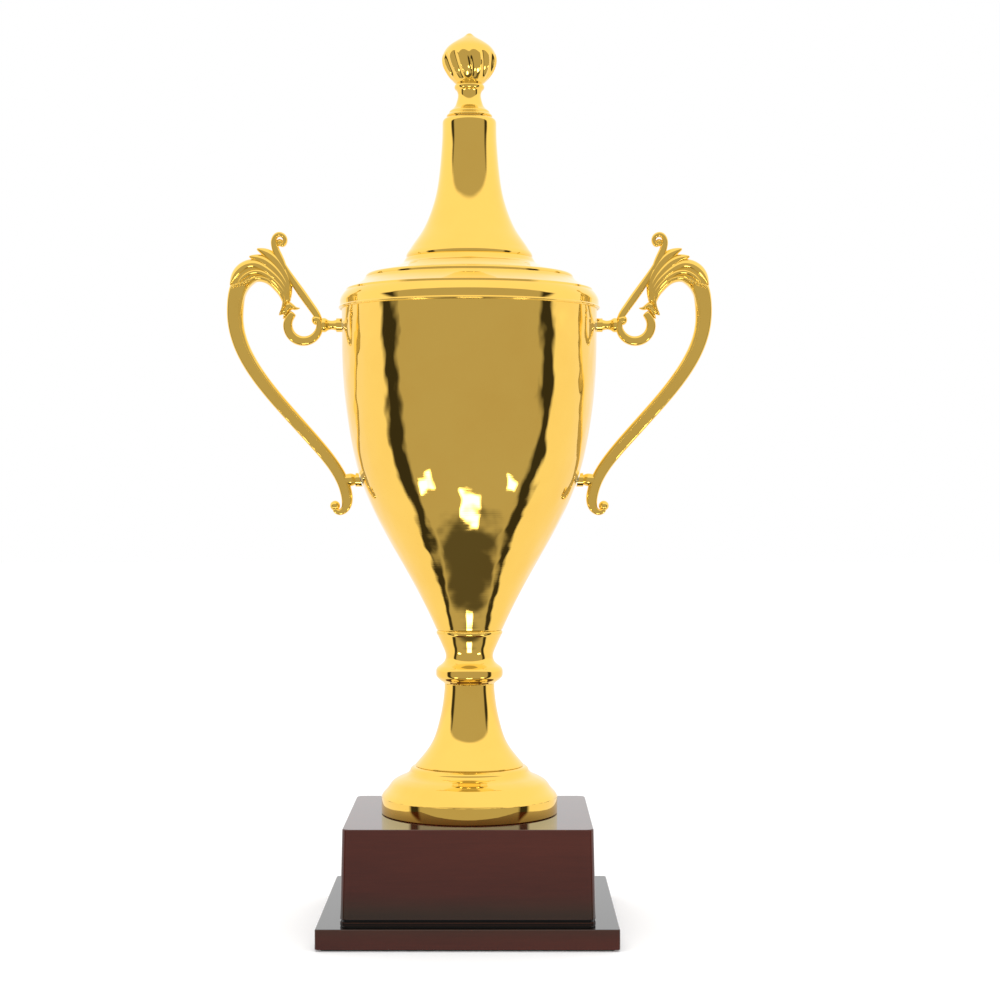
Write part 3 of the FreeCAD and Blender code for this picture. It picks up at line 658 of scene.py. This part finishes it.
def lacquered_board():
    """Stained board under thick gloss lacquer: figure, depth, orange peel and dust, with a painted
    reflection that darkens it round the foot of the box and painted shade in the groove and the joint.
    """
    name = "lacquered_board"
    if name in bpy.data.materials:
        return bpy.data.materials[name]
    finish = bpy.context.scene.trophy_lacquer
    material, tree, shader = new_material(name)
    broad = noise(tree, stretched(tree, (5, 26, 26)), 1, 5, 0.62)
    pores = noise(tree, stretched(tree, (40, 900, 900)), 1, 3, 0.6)
    wide = calculate(tree, "MULTIPLY", broad, 0.8)
    fine = calculate(tree, "MULTIPLY", pores, 0.2)
    mixed = calculate(tree, "ADD", wide, fine)
    figure = ramp(tree, mixed, [(0.36, 0.0), (0.66, 1.0)])
    stained = blend_colours(tree, figure, finish.ground, finish.figure)
    place = add_node(tree, "ShaderNodeSeparateXYZ")
    tree.links.new(stretched(tree, (1, 1, 1)), place.inputs["Vector"])
    level = place.outputs["Z"]
    # Painted reflection: the colour darkens to olive round the foot of the box.
    foot = calculate(tree, "MULTIPLY", band(tree, level, 0.012, 0.024, 0.010), 0.8)
    stained = blend_colours(tree, foot, stained, finish.foot)
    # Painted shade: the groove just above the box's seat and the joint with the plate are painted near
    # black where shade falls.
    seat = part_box("plinth_box")[0].z
    groove = band(tree, level, seat + 1.1 * MM, seat + 2.7 * MM, 0.05 * MM)
    joint = band(tree, level, seat - 0.1 * MM, seat + 0.3 * MM, 0.05 * MM)
    shade = calculate(tree, "MAXIMUM", groove, joint)
    tree.links.new(blend_colours(tree, shade, stained, (0.004, 0.003, 0.002)), shader.inputs["Base Color"])
    marks = use_group(tree, polish_marks(), Clean=0.05, Smudged=0.13, Ripple_size=60.0)
    tree.links.new(marks.outputs["Roughness"], shader.inputs["Roughness"])
    peel = noise(tree, stretched(tree, (1, 1, 1)), 260, 1)
    relief = calculate(tree, "ADD", calculate(tree, "MULTIPLY", peel, 0.25), marks.outputs["Ripple"])
    tree.links.new(bump(tree, relief, 0.00006), shader.inputs["Normal"])
    shader.inputs["Specular IOR Level"].default_value = 0.0
    shader.inputs["Coat Weight"].default_value = 1.0
    shader.inputs["Coat Roughness"].default_value = 0.02
    shader.inputs["IOR"].default_value = 1.5
    return material


def zinc_steel():
    """Bright zinc plating on the rods, nuts, washers and screws."""
    name = "zinc_steel"
    if name in bpy.data.materials:
        return bpy.data.materials[name]
    material, tree, shader = new_material(name)
    marks = use_group(tree, polish_marks(), Clean=0.22, Smudged=0.42, Ripple_size=300.0)
    tree.links.new(marks.outputs["Roughness"], shader.inputs["Roughness"])
    stain = ramp(tree, noise(tree, stretched(tree, (1, 1, 1)), 240, 4, 0.6), [(0.3, 0.0), (0.8, 1.0)])
    plated = blend_colours(tree, stain, (0.60, 0.61, 0.63), (0.46, 0.45, 0.42))
    tree.links.new(plated, shader.inputs["Base Color"])
    shader.inputs["Metallic"].default_value = 1.0
    tree.links.new(bump(tree, marks.outputs["Lines"], 0.00001), shader.inputs["Normal"])
    return material


def sawn_wood():
    """Unfinished softwood of the glue blocks."""
    name = "sawn_wood"
    if name in bpy.data.materials:
        return bpy.data.materials[name]
    material, tree, shader = new_material(name)
    grain = noise(tree, stretched(tree, (160, 160, 9)), 1, 5, 0.65)
    rings = [(0.3, (0.30, 0.17, 0.075)), (0.55, (0.52, 0.36, 0.19)), (0.8, (0.62, 0.46, 0.27))]
    tree.links.new(ramp(tree, grain, rings), shader.inputs["Base Color"])
    rough = ramp(tree, grain, [(0.2, 0.62), (0.9, 0.86)])
    tree.links.new(rough, shader.inputs["Roughness"])
    tree.links.new(bump(tree, grain, 0.0002), shader.inputs["Normal"])
    return material


def green_felt():
    """Dark felt with tangled fibres."""
    name = "green_felt"
    if name in bpy.data.materials:
        return bpy.data.materials[name]
    material, tree, shader = new_material(name)
    fibres = noise(tree, stretched(tree, (1, 1, 1)), 1400, 6, 0.75)
    tufts = noise(tree, stretched(tree, (1, 1, 1)), 160, 3, 0.6)
    mixed = calculate(tree, "MULTIPLY", calculate(tree, "ADD", fibres, tufts), 0.5)
    tree.links.new(
        ramp(tree, mixed, [(0.35, (0.010, 0.022, 0.016)), (0.65, (0.035, 0.070, 0.050))]),
        shader.inputs["Base Color"],
    )
    tree.links.new(ramp(tree, fibres, [(0.2, 0.85), (0.8, 1.0)]), shader.inputs["Roughness"])
    tree.links.new(bump(tree, mixed, 0.0004), shader.inputs["Normal"])
    shader.inputs["Sheen Weight"].default_value = 0.3
    return material


# ---- pieces --------------------------------------------------------------------------


class TROPHY_OT_foot(bpy.types.Operator):
    """Spin the foot disc, the bell and the stem knob"""

    bl_idname = "trophy.foot"
    bl_label = "Foot and stem"

    def execute(self, context):
        sizes = context.scene.trophy_sheet
        for name, runs in (("foot_disc", FOOT_DISC), ("foot_bell", FOOT_BELL), ("stem_knob", STEM_KNOB)):
            mesh = spun(fitted(runs, name), sizes.steps)
            round_creases(mesh, sizes.crease)
            piece = finish_piece(name + "_skin", mesh, sheet_gold(), CUP_BODY, [name])
            thicken(piece, sizes.thickness)
        return {"FINISHED"}


class TROPHY_OT_bowl(bpy.types.Operator):
    """Spin the bowl of the cup"""

    bl_idname = "trophy.bowl"
    bl_label = "Bowl"

    def execute(self, context):
        sizes = context.scene.trophy_sheet
        mesh = spun(fitted(CUP_BOWL, "cup_bowl"), sizes.steps)
        round_creases(mesh, sizes.crease)
        piece = finish_piece("cup_bowl_skin", mesh, bowl_gold(), CUP_BODY, ["cup_bowl"])
        thicken(piece, sizes.thickness)
        return {"FINISHED"}


class TROPHY_OT_lid(bpy.types.Operator):
    """Spin the lid's disc, its tower and the neck of the finial"""

    bl_idname = "trophy.lid"
    bl_label = "Lid"

    def execute(self, context):
        sizes = context.scene.trophy_sheet
        for name, runs in (("lid_disc", LID_DISC), ("lid_tower", LID_TOWER), ("finial_neck", FINIAL_NECK)):
            mesh = spun(fitted(runs, name), sizes.steps)
            round_creases(mesh, sizes.crease)
            piece = finish_piece(name + "_skin", mesh, sheet_gold(), LID_BODY, [name])
            if name != "finial_neck":
                thicken(piece, sizes.thickness)
        return {"FINISHED"}


class TROPHY_OT_finial(bpy.types.Operator):
    """Spin the finial and press its spiral flutes"""

    bl_idname = "trophy.finial"
    bl_label = "Finial"

    def execute(self, context):
        sizes = context.scene.trophy_finial
        mesh = spun(fitted(FINIAL, "finial"), sizes.flutes * 20)
        low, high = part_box("finial")
        tall = high.z - low.z
        for vert in mesh.verts:
            share = (vert.co.z - low.z) / tall
            radius = vert.co.xy.length
            if radius < 0.5 * MM:
                continue
            angle = math.atan2(vert.co.y, vert.co.x) - sizes.twist * share
            across = abs(math.cos(angle * sizes.flutes / 2))
            depth = sizes.depth * scooped_share(share, across) * min(1, radius / (12 * MM))
            vert.co.xy *= 1 - depth / radius
        round_creases(mesh, 0.05 * MM, 60)
        finish_piece("finial_knob", mesh, cast_gold(), LID_BODY, ["finial"])
        return {"FINISHED"}


def scooped_share(share, across):
    """Depth of a flute, from 0 to 1: share of the height, and 0 at a ridge to 1 at its middle."""
    foot = 0.03
    top = 0.46 + 0.12 * math.sqrt(across)
    along = (share - foot) / (top - foot)
    if not 0 < along < 1:
        return 0
    return across**0.9 * math.sin(math.pi * along**1.3) ** 0.7


def handle_place():
    """Distance of the bowl's wall from the axis, and the heights of the two spigots."""
    low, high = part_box("handle_spacers")
    ring = 4.3 * MM
    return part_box("cup_bowl")[1].x, high.z - ring, low.z + ring


def handle_spine(points):
    """Smooth spine in metres from points of the handle."""
    wall, upper, _ = handle_place()
    return [
        (wall + out * MM, upper + up * MM, width * MM, depth * MM)
        for out, up, width, depth in smooth_run(points, 4)
    ]


def beside(spine, share, width, prouder):
    """Spine of a thin rib that follows a bar, off its middle by a share of its width."""
    rib = []
    for index, (x, z, wide, deep) in enumerate(spine):
        before = Vector(spine[max(index - 1, 0)][:2])
        after = Vector(spine[min(index + 1, len(spine) - 1)][:2])
        along = (after - before).normalized()
        rib.append((x + along.y * wide * share, z - along.x * wide * share, width, deep + prouder))
    return rib


def hook_points():
    """Points of the C-scroll, on a circle that thins towards its end."""
    points = []
    for index, width in enumerate(HOOK_WIDTHS):
        angle = math.radians(HOOK_START + HOOK_SWEEP * index / (len(HOOK_WIDTHS) - 1))
        out = HOOK_CENTRE[0] + HOOK_RADIUS * math.cos(angle)
        up = HOOK_CENTRE[1] + HOOK_RADIUS * math.sin(angle)
        points.append((out, up, width, 6.6))
    return points


def wall_at(height):
    """Outer radius of the bowl at a height."""
    radii, heights = zip(*fitted(CUP_BOWL, "cup_bowl"))
    return float(np.interp(height, heights, radii))


def cross_turned(mesh, runs, height):
    """Turned piece that stands out along X from the bowl's wall, added to a mesh."""
    outline = [(radius * MM, out * MM) for radius, out in joined_runs(runs)]
    outline = [(0, outline[0][1]), *outline, (0, outline[-1][1])]
    part = spun(outline, 40)
    lay = Matrix.Translation((wall_at(height), 0, height)) @ Matrix.Rotation(math.radians(90), 4, "Y")
    bmesh.ops.transform(part, matrix=lay, verts=part.verts)
    bmesh.ops.recalc_face_normals(part, faces=part.faces)
    keep = bpy.data.meshes.new("turned")
    part.to_mesh(keep)
    part.free()
    mesh.from_mesh(keep)
    bpy.data.meshes.remove(keep)


def handle_mesh():
    """The right-hand handle, as the closed forms that it is cast from."""
    wall, upper, lower = handle_place()
    mesh = bmesh.new()
    bar = handle_spine(BAR)
    swept(mesh, bar, oval(0.75, 0.45))
    swept(mesh, beside(bar[26:-14], 0.24, 1.3 * MM, 0.2 * MM), oval(1, 1, 12))
    swept(mesh, handle_spine(STRUT), oval(0.8, 0.7))
    swept(mesh, handle_spine(SCROLL), oval(0.8, 0.6))
    swept(mesh, handle_spine(ARCH_RIM), oval(0.9, 0.7))
    swept(mesh, handle_spine(hook_points()), oval(0.8, 0.5))
    for lobe in LEAF_LOBES + SEPALS:
        swept(mesh, handle_spine(lobe), ridged())
    balls = [(out, 0, up, radius) for out, up, radius in BALLS]
    balls += [(out, side * 3.9, up, 1.25) for out, up in LEAF_BEADS for side in (-1, 1)]
    for out, deep, up, radius in balls:
        place = Matrix.Translation((wall + out * MM, deep * MM, upper + up * MM))
        bmesh.ops.create_icosphere(mesh, subdivisions=3, radius=radius * MM, matrix=place)
    cross_turned(mesh, UPPER_SPIGOT, upper)
    cross_turned(mesh, LOWER_SPIGOT, lower)
    return mesh


class TROPHY_OT_handles(bpy.types.Operator):
    """Sweep the two handles from their bars, leaves and scrolls"""

    bl_idname = "trophy.handles"
    bl_label = "Handles"

    def execute(self, context):
        for node in ("handle_right", "handle_left"):
            mesh = handle_mesh()
            if node == "handle_left":
                mirror_across(mesh)
            piece = finish_piece(node + "_casting", mesh, cast_gold(), CUP_BODY, [node])
            refine(piece, 1)
        return {"FINISHED"}


class TROPHY_OT_plinth(bpy.types.Operator):
    """Finish the plinth's boards, blocks and felt"""

    bl_idname = "trophy.plinth"
    bl_label = "Plinth"

    def execute(self, context):
        for node in ("plinth_plate", "plinth_box"):
            paint_node(node, lacquered_board())
        paint_node("plinth_blocks", sawn_wood())
        paint_node("base_felt", green_felt())
        return {"FINISHED"}


class TROPHY_OT_fasteners(bpy.types.Operator):
    """Finish the rods, nuts, washers and screws"""

    bl_idname = "trophy.fasteners"
    bl_label = "Fasteners"

    def execute(self, context):
        for node in (
            "tie_rod", "base_nut", "base_washer", "cup_nut", "cup_washer", "plinth_screws",
            "handle_screws", "handle_washers", "lid_rod", "lid_nut", "lid_washer",
        ):
            paint_node(node, zinc_steel())
        paint_node("handle_spacers", cast_gold())
        return {"FINISHED"}


def paint_node(node, material):
    """Give a CAD node its finished material."""
    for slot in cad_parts[node].material_slots:
        slot.material = material


# ---- stage ---------------------------------------------------------------------------


def band(tree, value, low, high, soft):
    """1 where a value lies between two limits, falling smoothly to 0 outside."""
    away = calculate(tree, "ABSOLUTE", calculate(tree, "SUBTRACT", value, (low + high) / 2), 0.0)
    node = add_node(tree, "ShaderNodeMapRange", interpolation_type="SMOOTHSTEP")
    tree.links.new(away, node.inputs["Value"])
    node.inputs["From Min"].default_value = (high - low) / 2 + soft
    node.inputs["From Max"].default_value = (high - low) / 2 - soft
    return node.outputs["Result"]


def room_light():
    """World that is plain white, and a plain grey studio in reflections.

    A direction has a turn, 0 in front of the cup and 180 degrees behind it, and a slope,
    the sine of its angle above the horizon.
    """
    world = bpy.data.worlds.new("studio")
    bpy.context.scene.world = world
    world.use_nodes = True
    tree = world.node_tree
    direction = add_node(tree, "ShaderNodeTexCoord").outputs["Generated"]
    axes = add_node(tree, "ShaderNodeSeparateXYZ")
    tree.links.new(direction, axes.inputs["Vector"])
    ahead = calculate(tree, "MULTIPLY", axes.outputs["Y"], -1)
    slope = axes.outputs["Z"]
    aside = calculate(tree, "ABSOLUTE", axes.outputs["X"], 0.0)
    turn = calculate(tree, "MULTIPLY", calculate(tree, "ARCTAN2", aside, ahead), 180 / math.pi)
    share = calculate(tree, "DIVIDE", turn, 180)
    walls = ramp(tree, share, [(at / 180, grey) for at, grey in STUDIO_WALLS])
    floor = ramp(tree, share, [(at / 180, grey) for at, grey in STUDIO_FLOOR])
    seen = blend_colours(tree, band(tree, slope, -1.5, FLOOR_SLOPE, 0.04), walls, floor)
    edge = calculate(tree, "MULTIPLY", calculate(tree, "MAXIMUM", ahead, 0.0), CEILING_SLOPE)
    above = calculate(tree, "SUBTRACT", slope, edge)
    seen = blend_colours(tree, band(tree, above, 0.1, 2.5, 0.06), seen, CEILING)
    for left, right, low, high, strength in SOFT_BOXES:
        patch = calculate(
            tree, "MULTIPLY", band(tree, turn, left, right, 3.0), band(tree, slope, low, high, 0.012)
        )
        seen = blend_colours(tree, patch, seen, (strength, strength, strength))
    mirrored = add_node(tree, "ShaderNodeLightPath").outputs["Is Glossy Ray"]
    tree.links.new(blend_colours(tree, mirrored, (1, 1, 1), seen), tree.nodes["Background"].inputs["Color"])


def plain_floor(radius):
    """Pale floor that fades into the white behind it."""
    mesh = bmesh.new()
    bmesh.ops.create_circle(mesh, cap_ends=True, radius=radius, segments=96)
    data = bpy.data.meshes.new("floor")
    mesh.to_mesh(data)
    mesh.free()
    floor = bpy.data.objects.new("floor", data)
    bpy.context.collection.objects.link(floor)
    material, _, shader = new_material("floor_paper")
    shader.inputs["Base Color"].default_value = (0.93, 0.93, 0.93, 1)
    shader.inputs["Roughness"].default_value = 0.9
    shader.inputs["Specular IOR Level"].default_value = 0.0
    shader.inputs["Emission Color"].default_value = (1, 1, 1, 1)
    shader.inputs["Emission Strength"].default_value = 0.12
    data.materials.append(material)
    floor.visible_glossy = False


def soft_lamp(name, place, aim, size, power):
    """Square area lamp pointed at a spot."""
    light = bpy.data.lights.new(name, "AREA")
    light.size = size
    light.energy = power
    lamp = bpy.data.objects.new(name, light)
    lamp.location = place
    lamp.rotation_euler = (Vector(aim) - Vector(place)).to_track_quat("-Z", "Y").to_euler()
    bpy.context.collection.objects.link(lamp)
    lamp.visible_glossy = False


class TROPHY_OT_stage(bpy.types.Operator):
    """Set up the floor, the studio and the camera"""

    bl_idname = "trophy.stage"
    bl_label = "Stage"

    def execute(self, context):
        setup = context.scene.trophy_stage
        room_light()
        plain_floor(setup.floor)
        soft_lamp("overhead", (0, -0.2, 1.7), (0, 0, 0), 1.6, 9)
        camera = bpy.data.objects.new("camera", bpy.data.cameras.new("camera"))
        camera.data.lens = setup.lens
        camera.data.clip_start = 0.01
        camera.location = (setup.aside, -setup.distance, setup.height)
        camera.rotation_euler = (math.radians(90) - setup.tilt, 0, 0)
        context.collection.objects.link(camera)
        context.scene.camera = camera
        context.scene.view_settings.view_transform = "Standard"
        return {"FINISHED"}


# ---- add-on --------------------------------------------------------------------------


class TROPHY_PT_panel(bpy.types.Panel):
    """Settings and steps of the trophy"""

    bl_label = "Trophy"
    bl_idname = "TROPHY_PT_panel"
    bl_space_type = "VIEW_3D"
    bl_region_type = "UI"
    bl_category = "Trophy"

    def draw(self, context):
        for group in SETTINGS:
            box = self.layout.box()
            owner = getattr(context.scene, group)
            for key in owner.__annotations__:
                box.prop(owner, key)
        for step in STEPS:
            self.layout.operator("trophy." + step)


SETTINGS = {
    "trophy_plate": PlateFinish,
    "trophy_lacquer": LacquerFinish,
    "trophy_sheet": SheetSizes,
    "trophy_finial": FinialSizes,
    "trophy_stage": StageSetup,
}
STEPS = ("stage", "plinth", "foot", "bowl", "handles", "lid", "finial", "fasteners")
CLASSES = (
    *SETTINGS.values(), TROPHY_OT_stage, TROPHY_OT_plinth, TROPHY_OT_foot, TROPHY_OT_bowl,
    TROPHY_OT_handles, TROPHY_OT_lid, TROPHY_OT_finial, TROPHY_OT_fasteners, TROPHY_PT_panel,
)


def register():
    for item in CLASSES:
        bpy.utils.register_class(item)
    for key, group in SETTINGS.items():
        setattr(bpy.types.Scene, key, PointerProperty(type=group))


def unregister():
    for key in SETTINGS:
        delattr(bpy.types.Scene, key)
    for item in reversed(CLASSES):
        bpy.utils.unregister_class(item)


def main():
    """Build the trophy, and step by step."""
    register()
    for step in STEPS:
        getattr(bpy.ops.trophy, step)()


if __name__ == "__main__":
    main()
